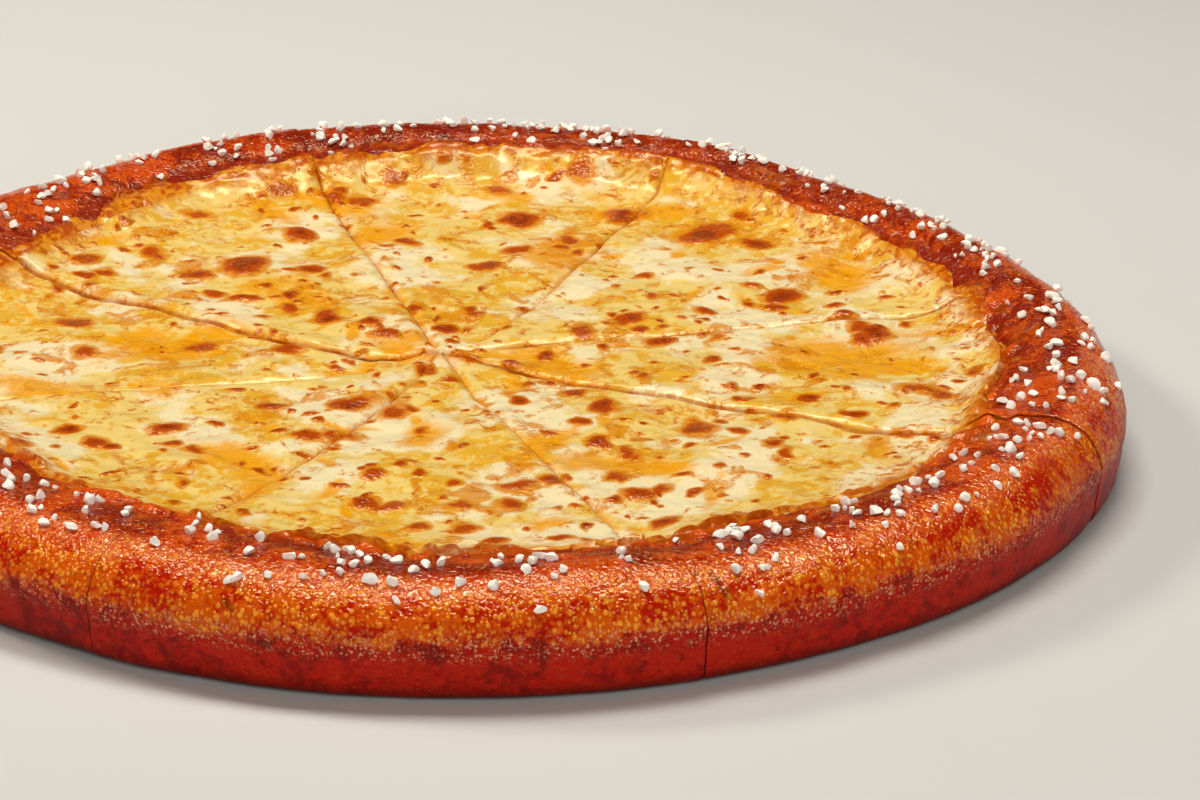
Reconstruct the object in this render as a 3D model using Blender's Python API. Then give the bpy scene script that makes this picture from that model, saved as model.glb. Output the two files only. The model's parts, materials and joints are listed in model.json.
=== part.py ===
"""A round cheese pizza with a thick, salted pretzel rim, cut into eight slices that lie together.

Each slice is two pieces: its baked dough, with the salt grains fused on, and its layer of melted cheese.
X runs to the right and Y to the back as the pizza is looked at, and Z up from the table that it lies on.
"""

import math
import random

import bmesh
import bpy
from mathutils import Matrix, Vector
from mathutils.bvhtree import BVHTree

# Driving dimensions, in metres
DIAMETER = 0.3548
RIM_HEIGHT = 0.0275
RIM_WIDTH = 0.0356
DOUGH_THICKNESS = 0.012
CHEESE_LEVEL = 0.0176
CUT_GAP = 0.0005
LAYER_GAP = 0.00035
TIP_RADIUS = 0.0022
GRAIN_SIZE = 0.0032
GRAINS_IN_A_SLICE = 25

# The outline's unevenness: waves round the pizza, as (waves in a turn, cosine part, sine part).
# The first one is there because the cuts don't meet in the middle of the outline.
OUTLINE_WAVES = ((1, 0.0005, -0.0018), (2, -0.0006, -0.0050), (3, -0.0016, -0.0021), (4, 0.0018, -0.0015))
# How the rim's width varies: wide at the front and left, narrow at the back right, with a wavy inner edge
WIDTH_WAVES = (
    (1, -0.0068, -0.0058),
    (2, 0.0010, -0.0025),
    (3, 0.0005, -0.0006),
    (7, 0.0006, -0.0006),
    (11, -0.0006, 0.0007),
    (17, 0.0005, 0.0005),
)
# How the rim's height varies
HEIGHT_WAVES = ((3, 0.0003, -0.0004), (8, -0.0003, 0.0002), (13, 0.0002, 0.0002))

# The rim's section, each point as (share of the way in from the outer side, share of the height).
# The lower side runs from the foot up to the belt, the widest line, and the roll on from there.
LOWER_SIDE = ((0.155, 0.0), (0.064, 0.070), (0.034, 0.240), (0.026, 0.415))
ROLL = (
    (0.0, 0.510),
    (0.017, 0.640),
    (0.085, 0.812),
    (0.205, 0.936),
    (0.375, 1.0),
    (0.570, 0.985),
    (0.750, 0.935),
    (0.905, 0.860),
)
CHEESE_FOOT_HEIGHT = 0.0208
CHEESE_FOOT_CLIMB = 0.0034
# The cheese meets the rim highest at the back, round this angle, and falls away within this reach
CLIMB_ANGLE, CLIMB_REACH = math.radians(75), math.radians(80)
EDGE_THICKNESS = 0.0008

# Inside the rim: (distance in from the cheese's edge, height of the dough, height of the cheese)
SHOULDER = ((0.0035, 0.0165, 0.0205), (0.0080, 0.0138, 0.0190), (0.0160, 0.0124, 0.0180))
# Then shares of what is left of the way to the centre, where dough and cheese are level
INNER_SHARES = (0.76, 0.52, 0.30, 0.13)

# The cuts are straight lines that don't quite meet: (direction in degrees, distance that it passes to
# one side of the middle), anticlockwise from the right. They come together within the last part.
CUTS = (
    (8.6, 0.0030),
    (67.2, -0.0105),
    (104.9, -0.0010),
    (143.0, 0.0180),
    (187.8, 0.0116),
    (238.9, 0.0077),
    (290.0, -0.0020),
    (334.5, -0.0040),
)
COME_TOGETHER = 0.015
# How far each slice has slid out, and how much higher or lower its rim has baked
SLICE_SLIDE = (0.0004, 0.0002, 0.0007, 0.0005, 0.0003, 0.0010, 0.0004, 0.0008)
SLICE_RISE = (0.0000, -0.0004, 0.0005, -0.0002, 0.0002, 0.0006, -0.0005, 0.0003)
SLICES = len(CUTS)

# Places across a slice, from one cut to the next, closer together where the edges round over
ACROSS = (0.0, 0.02, 0.09, 0.22, 0.36, 0.5, 0.64, 0.78, 0.91, 0.98, 1.0)
EDGE_ROUNDING = 0.0009
CHEESE_ROUNDING = 0.0012
EDGE_REACH = 0.02
# The shares of the height over which the rim's waves and its rounding at a cut come in from the flat base
WAVES_FULL_AT = 0.67
ROUNDING_FULL_AT = 0.25

# The grains lie in a band of the rim, as shares of the way in, mostly near its peak
SALT_SEED = 20
SALT_BAND = (0.14, 0.84)
SALT_PEAK = 0.42
SALT_SPACING = 0.0043
SALT_SINK = 0.12
# Share of a slice's width that is free of grains at each cut
SALT_MARGIN = 0.045
# The roll's curved surface, as a multiple of the rim's width
ROLL_STRETCH = 1.15
# Ranges of a grain's size, and of how much it is stretched along each of its axes
GRAIN_SIZES = (0.8, 1.15)
GRAIN_FORM = ((1.0, 1.3), (0.8, 1.0), (0.7, 0.9))

CRUST_COLOUR = (0.42, 0.10, 0.025, 1.0)
CHEESE_COLOUR = (0.86, 0.62, 0.20, 1.0)


def clear_scene():
    for thing in list(bpy.data.objects):
        bpy.data.objects.remove(thing, do_unlink=True)


def material(name, colour, roughness):
    """A plain baked or melted finish."""
    made = bpy.data.materials.new(name)
    made.use_nodes = True
    shader = made.node_tree.nodes["Principled BSDF"]
    shader.inputs["Base Color"].default_value = colour
    shader.inputs["Roughness"].default_value = roughness
    shader.inputs["Metallic"].default_value = 0.0
    return made


def smooth_step(value):
    held = min(1.0, max(0.0, value))
    return held * held * (3 - 2 * held)


def waves(angle, parts):
    """The sum of waves round the pizza at an angle."""
    return sum(c * math.cos(n * angle) + s * math.sin(n * angle) for n, c, s in parts)


def outline_radius(angle):
    """From the pizza's centre out to its widest line."""
    return DIAMETER / 2 + waves(angle, OUTLINE_WAVES)


def rim_width(angle):
    """From the outer side in to the edge of the cheese."""
    return RIM_WIDTH + waves(angle, WIDTH_WAVES)


def edge_radius(angle):
    """From the middle out to the edge of the cheese."""
    return outline_radius(angle) - rim_width(angle)


def foot_height(angle):
    """The height at which the cheese's edge meets the rim: it climbs at the back."""
    turned = math.remainder(angle - CLIMB_ANGLE, math.tau)
    return CHEESE_FOOT_HEIGHT + CHEESE_FOOT_CLIMB * smooth_step(1 - abs(turned) / CLIMB_REACH)


def cheese_swell(x, y):
    """The low swells of the melted cheese, about 1 mm high and some 40 mm across."""
    return 0.0005 * math.sin(150 * x + 1.0) * math.cos(130 * y + 0.4) + 0.0004 * math.sin(95 * x - 110 * y)


def cut_angle(index, radius):
    """A cut's direction at a distance from the centre. The later cuts go on past a full turn."""
    direction, aside = CUTS[index % SLICES]
    turned = math.asin(aside * radius / (radius**2 + COME_TOGETHER**2))
    return math.radians(direction) + turned + math.tau * (index // SLICES)


def edge_drop(across):
    """1 at a cut, and 0 from a little way into the slice."""
    from_cut = min(across, 1 - across)
    return (1 - min(1.0, from_cut / EDGE_REACH)) ** 2


class Slice:
    """The places on one slice, from the cut before it to the cut after it."""

    def __init__(self, index):
        self.index = index
        middle = (cut_angle(index, DIAMETER / 2) + cut_angle(index + 1, DIAMETER / 2)) / 2
        self.slide = SLICE_SLIDE[index] * Vector((math.cos(middle), math.sin(middle), 0))
        self.rise = SLICE_RISE[index]

    def angle(self, radius, across):
        clear = math.asin(min(1.0, CUT_GAP / 2 / radius))
        start = cut_angle(self.index, radius) + clear
        end = cut_angle(self.index + 1, radius) - clear
        return start + (end - start) * across

    def at_rim(self, inward_share, height_share, across):
        """A point of the rim's section."""
        angle = self.angle(DIAMETER / 2, across)
        drop = edge_drop(across) * smooth_step(height_share / ROUNDING_FULL_AT)
        radius = outline_radius(angle) - inward_share * rim_width(angle)
        radius -= EDGE_ROUNDING * drop * (1 - inward_share)
        raised = (waves(angle, HEIGHT_WAVES) + self.rise) * smooth_step(height_share / WAVES_FULL_AT)
        height = height_share * RIM_HEIGHT + raised - EDGE_ROUNDING * drop
        return self.point(radius, self.angle(radius, across), height if height_share else 0.0)

    def inside(self, radius_at, across, height):
        """A point inside the rim, at a radius that may depend on the angle."""
        angle = self.angle(radius_at(self.angle(DIAMETER / 3, across)), across)
        return self.point(radius_at(angle), angle, height)

    def point(self, radius, angle, height):
        return Vector((radius * math.cos(angle), radius * math.sin(angle), height)) + self.slide


def inner_stations():
    """The places inside the rim as (radius at an angle, dough height, cheese height), edge to tip."""

    def stepped(step):
        return lambda angle: edge_radius(angle) - step

    def shared(share):
        return lambda angle: TIP_RADIUS + share * (edge_radius(angle) - SHOULDER[-1][0] - TIP_RADIUS)

    found = [(stepped(step), dough, cheese) for step, dough, cheese in SHOULDER]
    found += [(shared(share), DOUGH_THICKNESS, CHEESE_LEVEL) for share in INNER_SHARES]
    return found + [(shared(0.0), DOUGH_THICKNESS, CHEESE_LEVEL)]


def edge_point(piece, across, lift):
    """A point of the line where the cheese's edge lies on the rim."""
    angle = piece.angle(DIAMETER / 2, across)
    radius = edge_radius(angle)
    return piece.point(radius, piece.angle(radius, across), foot_height(angle) + lift)


def dough_section(piece, across):
    """One closed section of a slice's dough, as its upper line and its lower line from belt to tip."""
    upper = [piece.at_rim(inward, height, across) for inward, height in ROLL]
    upper.append(edge_point(piece, across, 0.0))
    upper += [piece.inside(radius, across, dough) for radius, dough, _ in inner_stations()]
    lower = [piece.at_rim(inward, height, across) for inward, height in reversed(LOWER_SIDE)]
    lower += [piece.inside(radius, across, 0.0) for radius, _, _ in inner_stations()]
    return upper, lower


def cheese_section(piece, across):
    """One closed section of a slice's cheese, as its upper line and its lower line from edge to tip."""
    upper = [edge_point(piece, across, LAYER_GAP + EDGE_THICKNESS)]
    lower = [edge_point(piece, across, LAYER_GAP)]
    drop = CHEESE_ROUNDING * edge_drop(across)
    for radius, dough, cheese in inner_stations():
        top = piece.inside(radius, across, cheese - drop)
        top.z += cheese_swell(top.x, top.y) + piece.rise / 2
        upper.append(top)
        lower.append(piece.inside(radius, across, dough + LAYER_GAP))
    return upper, lower


def face(mesh, *corners):
    """A face through three or four corners, split along the first and third so that layers match."""
    a, b, c = corners[:3]
    mesh.faces.new((a, b, c))
    if len(corners) == 4:
        mesh.faces.new((a, c, corners[3]))


def closed_sweep(sections):
    """A closed mesh through sections of two lines each, with the two end sections as its cut faces."""
    mesh = bmesh.new()
    rows = [([mesh.verts.new(p) for p in up], [mesh.verts.new(p) for p in low]) for up, low in sections]
    for (up, low), (next_up, next_low) in zip(rows, rows[1:]):
        for i in range(len(up) - 1):
            face(mesh, up[i], next_up[i], next_up[i + 1], up[i + 1])
        for i in range(len(low) - 1):
            face(mesh, low[i], low[i + 1], next_low[i + 1], next_low[i])
        face(mesh, low[0], next_low[0], next_up[0], up[0])
        face(mesh, up[-1], next_up[-1], next_low[-1], low[-1])
    for up, low in (rows[0], rows[-1]):
        cut_face(mesh, up, low)
    bmesh.ops.recalc_face_normals(mesh, faces=mesh.faces)
    return mesh


def cut_face(mesh, up, low):
    """Closes a section between its upper and its lower line, from the belt to the tip."""
    i, j = 0, 0
    while i < len(up) - 1 or j < len(low) - 1:
        done_up, done_low = i / (len(up) - 1), j / (len(low) - 1)
        if done_up <= done_low:
            mesh.faces.new((up[i], up[i + 1], low[j]))
            i += 1
        else:
            mesh.faces.new((low[j], up[i], low[j + 1]))
            j += 1


def add_object(name, mesh, finish):
    data = bpy.data.meshes.new(name)
    mesh.to_mesh(data)
    mesh.free()
    data.materials.append(finish)
    made = bpy.data.objects.new(name, data)
    bpy.context.scene.collection.objects.link(made)
    return made


def salt_places(index):
    """Where a slice's grains lie: (share of the way in, share across, size share), spread by rule."""
    draw = random.Random(SALT_SEED + index)
    found = []
    slice_arc = (cut_angle(index + 1, DIAMETER / 2) - cut_angle(index, DIAMETER / 2)) * DIAMETER / 2
    while len(found) < GRAINS_IN_A_SLICE:
        across = draw.uniform(SALT_MARGIN, 1 - SALT_MARGIN)
        inward = draw.triangular(*SALT_BAND, SALT_PEAK)
        size = draw.uniform(*GRAIN_SIZES)
        spot = Vector((across * slice_arc, inward * RIM_WIDTH * ROLL_STRETCH))
        if all((spot - other).length > SALT_SPACING for other, *_ in found):
            found.append((spot, inward, across, size))
    return [place[1:] for place in found]


def roll_point(piece, inward, across):
    """A point on the roll, between the points of its section."""
    before = max(i for i in range(len(ROLL) - 1) if ROLL[i][0] <= inward)
    (low_in, low_up), (high_in, high_up) = ROLL[before], ROLL[before + 1]
    share = (inward - low_in) / (high_in - low_in)
    return piece.at_rim(inward, low_up + (high_up - low_up) * share, across)


def grain_mesh(centre, normal, size, draw):
    """One chunky grain of salt: a squashed, turned ball of twenty faces."""
    mesh = bmesh.new()
    bmesh.ops.create_icosphere(mesh, subdivisions=1, radius=size / 2)
    squash = Matrix.Diagonal([draw.uniform(*span) for span in GRAIN_FORM] + [1.0])
    turn = Matrix.Rotation(draw.uniform(0, math.tau), 4, "Z")
    upright = normal.to_track_quat("Z", "Y").to_matrix().to_4x4()
    mesh.transform(Matrix.Translation(centre) @ upright @ turn @ squash)
    return mesh


def add_salt(crust, piece, finish):
    """Fuses the slice's grains to its dough with one union."""
    shape = bmesh.new()
    shape.from_mesh(crust.data)
    tree = BVHTree.FromBMesh(shape)
    shape.free()
    draw = random.Random(SALT_SEED * 100 + piece.index)
    grains = bpy.data.collections.new(crust.name + "_salt")
    bpy.context.scene.collection.children.link(grains)
    for number, (inward, across, share) in enumerate(salt_places(piece.index)):
        near, normal, _, _ = tree.find_nearest(roll_point(piece, inward, across))
        size = GRAIN_SIZE * share
        shape = grain_mesh(near + normal * size * SALT_SINK, normal, size, draw)
        grain = add_object(f"{crust.name}_grain_{number}", shape, finish)
        bpy.context.scene.collection.objects.unlink(grain)
        grains.objects.link(grain)
    union = crust.modifiers.new("salt", "BOOLEAN")
    union.operation = "UNION"
    union.operand_type = "COLLECTION"
    union.collection = grains
    union.solver = "MANIFOLD"
    with bpy.context.temp_override(object=crust, active_object=crust):
        bpy.ops.object.modifier_apply(modifier=union.name)
    for grain in list(grains.objects):
        bpy.data.objects.remove(grain, do_unlink=True)
    bpy.data.collections.remove(grains)


def centre_on_origin(pieces):
    """Moves the pizza so that the middle of its extents is over the origin."""
    bpy.context.view_layer.update()
    corners = [piece.matrix_world @ Vector(c) for piece in pieces for c in piece.bound_box]
    middle = Vector(
        [(min(c[k] for c in corners) + max(c[k] for c in corners)) / 2 if k < 2 else 0.0 for k in range(3)]
    )
    for piece in pieces:
        piece.data.transform(Matrix.Translation(-middle))


def main():
    clear_scene()
    baked = material("baked_crust", CRUST_COLOUR, 0.4)
    melted = material("melted_cheese", CHEESE_COLOUR, 0.35)
    pieces = []
    for index in range(SLICES):
        piece = Slice(index)
        dough = closed_sweep([dough_section(piece, across) for across in ACROSS])
        crust = add_object(f"crust_{index + 1}", dough, baked)
        add_salt(crust, piece, baked)
        layer = closed_sweep([cheese_section(piece, across) for across in ACROSS])
        cheese = add_object(f"cheese_{index + 1}", layer, melted)
        pieces += [crust, cheese]
    centre_on_origin(pieces)


main()
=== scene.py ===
"""The looks of a sliced cheese pizza with a salted pretzel rim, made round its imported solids.

X runs to the right and Y to the back as the pizza is looked at, and Z up from what it lies on. Lengths are
in metres. The slices are numbered anticlockwise from the right, and lie close to where their solids are.
"""

import itertools
import json
import math
import random

import bmesh
import bpy
import numpy as np
from mathutils import Matrix, Vector

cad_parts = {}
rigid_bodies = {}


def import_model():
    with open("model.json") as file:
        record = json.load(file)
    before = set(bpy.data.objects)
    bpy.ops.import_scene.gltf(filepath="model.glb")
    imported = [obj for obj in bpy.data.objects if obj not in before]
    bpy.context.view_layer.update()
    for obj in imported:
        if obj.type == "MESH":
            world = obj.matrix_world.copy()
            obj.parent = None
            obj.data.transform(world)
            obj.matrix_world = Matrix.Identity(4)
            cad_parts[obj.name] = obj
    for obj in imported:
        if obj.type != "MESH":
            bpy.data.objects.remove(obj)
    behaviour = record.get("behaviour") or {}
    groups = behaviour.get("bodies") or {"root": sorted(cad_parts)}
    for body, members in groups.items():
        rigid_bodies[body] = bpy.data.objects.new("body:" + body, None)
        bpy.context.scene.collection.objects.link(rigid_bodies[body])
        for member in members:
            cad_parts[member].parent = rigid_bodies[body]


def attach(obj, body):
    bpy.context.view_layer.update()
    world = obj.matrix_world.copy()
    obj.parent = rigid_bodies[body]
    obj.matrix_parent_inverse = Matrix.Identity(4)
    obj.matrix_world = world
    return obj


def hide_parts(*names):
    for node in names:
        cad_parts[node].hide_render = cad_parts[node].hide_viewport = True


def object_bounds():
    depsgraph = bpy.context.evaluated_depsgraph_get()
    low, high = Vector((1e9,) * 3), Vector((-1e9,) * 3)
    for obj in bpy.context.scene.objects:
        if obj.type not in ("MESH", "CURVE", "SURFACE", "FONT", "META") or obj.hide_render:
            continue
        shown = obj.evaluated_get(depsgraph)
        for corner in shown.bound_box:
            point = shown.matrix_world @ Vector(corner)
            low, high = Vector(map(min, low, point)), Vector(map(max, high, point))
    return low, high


bl_info = {
    "name": "Pretzel Crust Pizza",
    "version": (1, 0, 0),
    "blender": (4, 5, 0),
    "location": "3D View > Sidebar > Pizza",
    "description": "Makes a sliced cheese pizza with a glazed and salted pretzel rim",
    "category": "Add Mesh",
}

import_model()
CAD_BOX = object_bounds()

# The pizza's form, as its solids have it
DIAMETER = 0.3548
RIM_HEIGHT = 0.0275
RIM_WIDTH = 0.0356
DOUGH_THICKNESS = 0.012
CHEESE_LEVEL = 0.0176
CUT_GAP = 0.0005
LAYER_GAP = 0.00035
TIP_RADIUS = 0.0022
# Where the cuts come together, seen from the middle of the pizza's extents
MIDDLE = np.array([0.000286, 0.000203, 0.0])
# What the camera is set up by, a little in front of the middle
AIM = Vector((-0.00011, -0.0023, 0.0))

# Waves round the pizza, as (waves in a turn, cosine part, sine part)
OUTLINE_WAVES = ((1, 0.0005, -0.0018), (2, -0.0006, -0.0050), (3, -0.0016, -0.0021), (4, 0.0018, -0.0015))
WIDTH_WAVES = (
    (1, -0.0068, -0.0058), (2, 0.0010, -0.0025), (3, 0.0005, -0.0006),
    (7, 0.0006, -0.0006), (11, -0.0006, 0.0007), (17, 0.0005, 0.0005),
)
HEIGHT_WAVES = ((3, 0.0003, -0.0004), (8, -0.0003, 0.0002), (13, 0.0002, 0.0002))

# The rim's section from its foot up, over and in: (share of the way in, share of the height)
RIM_SECTION = (
    (0.155, 0.0), (0.064, 0.070), (0.034, 0.240), (0.022, 0.415), (0.0, 0.510),
    (0.017, 0.640), (0.085, 0.812), (0.205, 0.936), (0.375, 1.0), (0.570, 0.985),
    (0.750, 0.935), (0.905, 0.860), (1.0, 0.756),
)
# Over these shares of the way in, the crest turns into the inner side, which is a little lower
INNER_SIDE = (0.62, 0.74)
INNER_DIP = 0.0012
# The beads of the knobbly ridge
BEAD_SIZE = 0.0060
BEAD_HEIGHT = 0.0032
CHEESE_FOOT_HEIGHT = 0.0208
CHEESE_FOOT_CLIMB = 0.0034
CLIMB_ANGLE, CLIMB_REACH = math.radians(75), math.radians(80)

# Inside the rim: (distance in from the cheese's edge, height of the dough, height of the cheese)
SHOULDER = ((0.0035, 0.0165, 0.0205), (0.0080, 0.0138, 0.0190), (0.0160, 0.0124, 0.0180))

# The cuts: (direction in degrees, distance that the line passes to one side of the middle)
CUTS = (
    (8.6, 0.0030), (67.2, -0.0105), (104.9, -0.0010), (143.0, 0.0180),
    (187.8, 0.0116), (238.9, 0.0077), (290.0, -0.0020), (334.5, -0.0040),
)
COME_TOGETHER = 0.015
SLICE_SLIDE = (0.0004, 0.0002, 0.0007, 0.0005, 0.0003, 0.0010, 0.0004, 0.0008)
SLICE_RISE = (0.0000, -0.0004, 0.0005, -0.0002, 0.0002, 0.0006, -0.0005, 0.0003)
# Baked, the slices lie this share of the way to where their solids lie, and the cuts are finer
SETTLED = 0.6
BAKED_GAP = CUT_GAP * 0.1
SLICES = len(CUTS)
# How much higher or lower each slice's cheese stands beside the cuts
CHEESE_RISE = (0.0002, -0.0002, 0.0002, -0.0002, 0.0001, 0.0004, -0.0003, 0.0000)
# How far the dough under the cheese, and the cheese's underside, are lowered at the shoulder
CLEARANCE = 0.0004
# Rings on the hidden sides, as shares of the way out from the slice's tip
HIDDEN_RINGS = (0.66, 0.33, 0.1, 0.0)
BASE_RINGS = (0.8, 0.6, 0.4, 0.2, 0.0)

# The solids' fused salt grains, which the scattered ones start from. A band is the least, the greatest and
# the likeliest share of the way in
SALT_SEED = 20
SALT_BAND = (0.14, 0.84, 0.42)
SALT_SPACING = 0.0043
FUSED_GRAINS = 25
SALT_MARGIN = 0.045
ROLL_STRETCH = 1.15
GRAIN_SIZES = (0.8, 1.15)
# No grain stands higher than this
SALT_TOP = CAD_BOX[1][2] + 0.0006
# The share of all the grains that lies on each slice
SALT_SHARES = (0.165, 0.135, 0.13, 0.12, 0.10, 0.10, 0.145, 0.105)
# The scattered grains: the share that strays from the fused ones and where, how far the others lie from
# these across and inwards, and the least distance between two
STRAY_SHARE = 0.35
STRAY_BAND = (0.05, 0.95, 0.40)
CLUSTER_SPREAD = (0.0034, 0.0030)
LEAST_SPACING = 0.0019
SCATTERED_SIZES = (0.55, 1.05)

CRUSTS = [f"crust_{number + 1}" for number in range(SLICES)]
CHEESES = [f"cheese_{number + 1}" for number in range(SLICES)]


def linear(red, green, blue):
    """A colour as it is seen, each part from 0 to 255, turned into the linear parts that shaders take."""
    parts = [part / 255 for part in (red, green, blue)]
    return tuple(p / 12.92 if p <= 0.04045 else ((p + 0.055) / 1.055) ** 2.4 for p in parts)


def colour_property(name, description, seen):
    return bpy.props.FloatVectorProperty(
        name=name, description=description, default=linear(*seen), size=3, min=0.0, max=1.0, subtype="COLOR"
    )


def length_property(name, description, default):
    return bpy.props.FloatProperty(
        name=name, description=description, default=default, min=0.0, subtype="DISTANCE", unit="LENGTH"
    )


def share_property(name, description, default):
    return bpy.props.FloatProperty(
        name=name, description=description, default=default, min=0.0, max=1.0, subtype="FACTOR"
    )


def number_property(name, description, default):
    return bpy.props.IntProperty(name=name, description=description, default=default, min=0)


def angle_property(name, description, degrees):
    return bpy.props.FloatProperty(
        name=name, description=description, default=math.radians(degrees), subtype="ANGLE"
    )


class CrustSettings(bpy.types.PropertyGroup):
    """The baked dough's fineness and colours."""

    step: length_property("Step", "Distance between the points of the rim's surface", 0.00085)
    seam_reach: length_property("Seam reach", "How far from a cut the rim's edge is rounded", 0.0005)
    seam_drop: length_property("Seam drop", "How far the rim's edge is rounded down at a cut", 0.00015)
    mahogany: colour_property("Mahogany", "Deepest baked glaze, on the crest and inner side", (132, 24, 3))
    red_glaze: colour_property("Red glaze", "Bright glaze between the darker patches", (184, 26, 2))
    amber: colour_property("Amber", "Golden brown of the outer slope", (216, 86, 4))
    # Tiny blisters in the outer slope's skin; their colour also paints their glints
    gold_speck_glint: colour_property("Golden", "Tiny blisters in the outer slope's skin", (255, 166, 44))
    # Painted glints on the belt, and pale flakes on the shoulder that also paint its sheen
    pale_flake_and_glint: colour_property("Blister", "Pale specks on the belt and flakes on the shoulder", (240, 156, 116))
    brick: colour_property("Brick", "The low band that tucks in under the roll", (178, 16, 8))
    # The darkest colour of the dough, which also paints the shade along the seams
    scorched_and_seam_shade: colour_property("Scorched", "Darkest blisters and the seams", (54, 12, 6))


class CheeseSettings(bpy.types.PropertyGroup):
    """The melted cheese's fineness, number of blisters and colours."""

    step: length_property("Step", "Distance between the points of the cheese's surface", 0.00095)
    blisters: number_property("Blisters", "Number of scattered toasted blisters", 400)
    cheddars: number_property("Cheddar patches", "Number of scattered cheddar patches", 60)
    butter: colour_property("Butter", "Most of the melted cheese", (233, 204, 120))
    cream: colour_property("Cream", "Palest patches", (239, 227, 187))
    straw: colour_property("Straw", "Yellower, oilier cheese between the patches", (224, 168, 34))
    cheddar: colour_property("Cheddar", "Orange yellow patches", (234, 160, 0))
    # Tan and toast also paint the shade along the cuts
    tan: colour_property("Tan", "Lightly toasted clouds and the rings round the blisters", (218, 136, 6))
    toast: colour_property("Toast", "Toasted blisters", (180, 69, 0))
    dark: colour_property("Dark", "Middles of the darkest blisters", (130, 37, 2))


class SaltSettings(bpy.types.PropertyGroup):
    """The coarse salt's number, size and colour."""

    number: number_property("Grains", "Number of grains on the whole rim", 520)
    size: length_property("Size", "Middle size of a grain", 0.0029)
    sunk: share_property("Sunk", "Share of a grain that is below the glaze", 0.24)
    milk: colour_property("Milk", "Chalky outside of a grain", (255, 253, 248))
    grey: colour_property("Grey", "Hollows and damp sides of a grain", (246, 240, 232))


class StudioSettings(bpy.types.PropertyGroup):
    """The floor, the lamps and the camera."""

    floor: colour_property("Floor", "Plain pale floor", (210, 212, 214))
    distance: length_property("Distance", "From the camera to the middle of the pizza's base", 1.100)
    elevation: angle_property("Elevation", "Height of the camera above the floor, seen from the pizza", 22.05)
    turn: angle_property("Turn", "How far the camera looks to the right", 2.425)
    dip: angle_property("Dip", "How far the camera looks down", 21.811)
    lens: bpy.props.FloatProperty(
        name="Lens", description="Focal length in millimetres on a 36 mm sensor", default=122.6, min=1.0
    )


# Chance and form


def lattice_values(cells, seed):
    """A fixed chance value from 0 to 1 for each whole-numbered cell."""
    parts = cells.astype(np.int64).astype(np.uint32)
    mixed = parts[..., 0] * np.uint32(374761393) + parts[..., 1] * np.uint32(668265263)
    mixed = mixed + parts[..., 2] * np.uint32(2246822519) + np.uint32((seed * 3266489917) % 2**32)
    mixed = (mixed ^ (mixed >> np.uint32(15))) * np.uint32(2246822519)
    mixed = (mixed ^ (mixed >> np.uint32(13))) * np.uint32(3266489917)
    return ((mixed ^ (mixed >> np.uint32(16))) & np.uint32(0xFFFFFF)) / float(0xFFFFFF)


def lumps(points, size, seed):
    """Smooth chance values from -1 to 1, with lumps about `size` across, each seed turned its own way."""
    turn = np.array(Matrix.Rotation(seed * 1.7 + 0.4, 3, Vector((0.4, 0.3, 1.0)).normalized()))
    scaled = points @ turn.T / size + seed * 7.31
    low = np.floor(scaled)
    part = scaled - low
    part = part * part * part * (part * (part * 6 - 15) + 10)
    total = np.zeros(points.shape[:-1])
    for corner in itertools.product((0, 1), repeat=3):
        weight = np.prod(np.where(corner, part, 1 - part), axis=-1)
        total += weight * lattice_values(low + corner, seed)
    return total * 2 - 1


def lump_sum(points, parts):
    """Several kinds of lumps together, as (height, width, seed)."""
    return sum(high * lumps(points, wide, seed) for high, wide, seed in parts)


def domes(points, size, seed):
    """Round domes up to about 1 high, one in each cell of about this size in plan, of uneven width."""
    flat = points[..., :2] / size
    low = np.floor(flat)
    level = np.zeros(low.shape[:-1] + (1,))
    highest = np.zeros(low.shape[:-1])
    for corner in itertools.product((-1, 0, 1), repeat=2):
        cell = np.concatenate([low + corner, level], axis=-1)
        place = np.stack([lattice_values(cell, seed), lattice_values(cell, seed + 1)], axis=-1)
        reach = 0.40 + 0.40 * lattice_values(cell, seed + 2)
        away = np.linalg.norm(low + corner + 0.15 + 0.7 * place - flat, axis=-1) / reach
        highest = np.maximum(highest, reach * np.sqrt(np.maximum(0, 1 - away**2)))
    return highest


def smooth_step(low, high, value):
    held = np.clip((value - low) / (high - low), 0.0, 1.0)
    return held * held * (3 - 2 * held)


def waves(angle, parts):
    return sum(c * np.cos(n * angle) + s * np.sin(n * angle) for n, c, s in parts)


def outline_radius(angle):
    """From the middle out to the pizza's widest line."""
    return DIAMETER / 2 + waves(angle, OUTLINE_WAVES)


def rim_width(angle):
    """From the outer side in to the edge of the cheese."""
    return RIM_WIDTH + waves(angle, WIDTH_WAVES)


def edge_radius(angle):
    """From the middle out to the edge of the cheese."""
    return outline_radius(angle) - rim_width(angle)


def foot_height(angle):
    """The height at which the cheese's edge meets the rim, which climbs at the back."""
    turned = (angle - CLIMB_ANGLE + math.pi) % math.tau - math.pi
    return CHEESE_FOOT_HEIGHT + CHEESE_FOOT_CLIMB * smooth_step(0.0, 1.0, 1 - abs(turned) / CLIMB_REACH)


def cheese_swell(points):
    """The low swells of the melted cheese, about 1 mm high and some 40 mm across."""
    x, y = points[..., 0], points[..., 1]
    return 0.0005 * np.sin(150 * x + 1.0) * np.cos(130 * y + 0.4) + 0.0004 * np.sin(95 * x - 110 * y)


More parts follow.
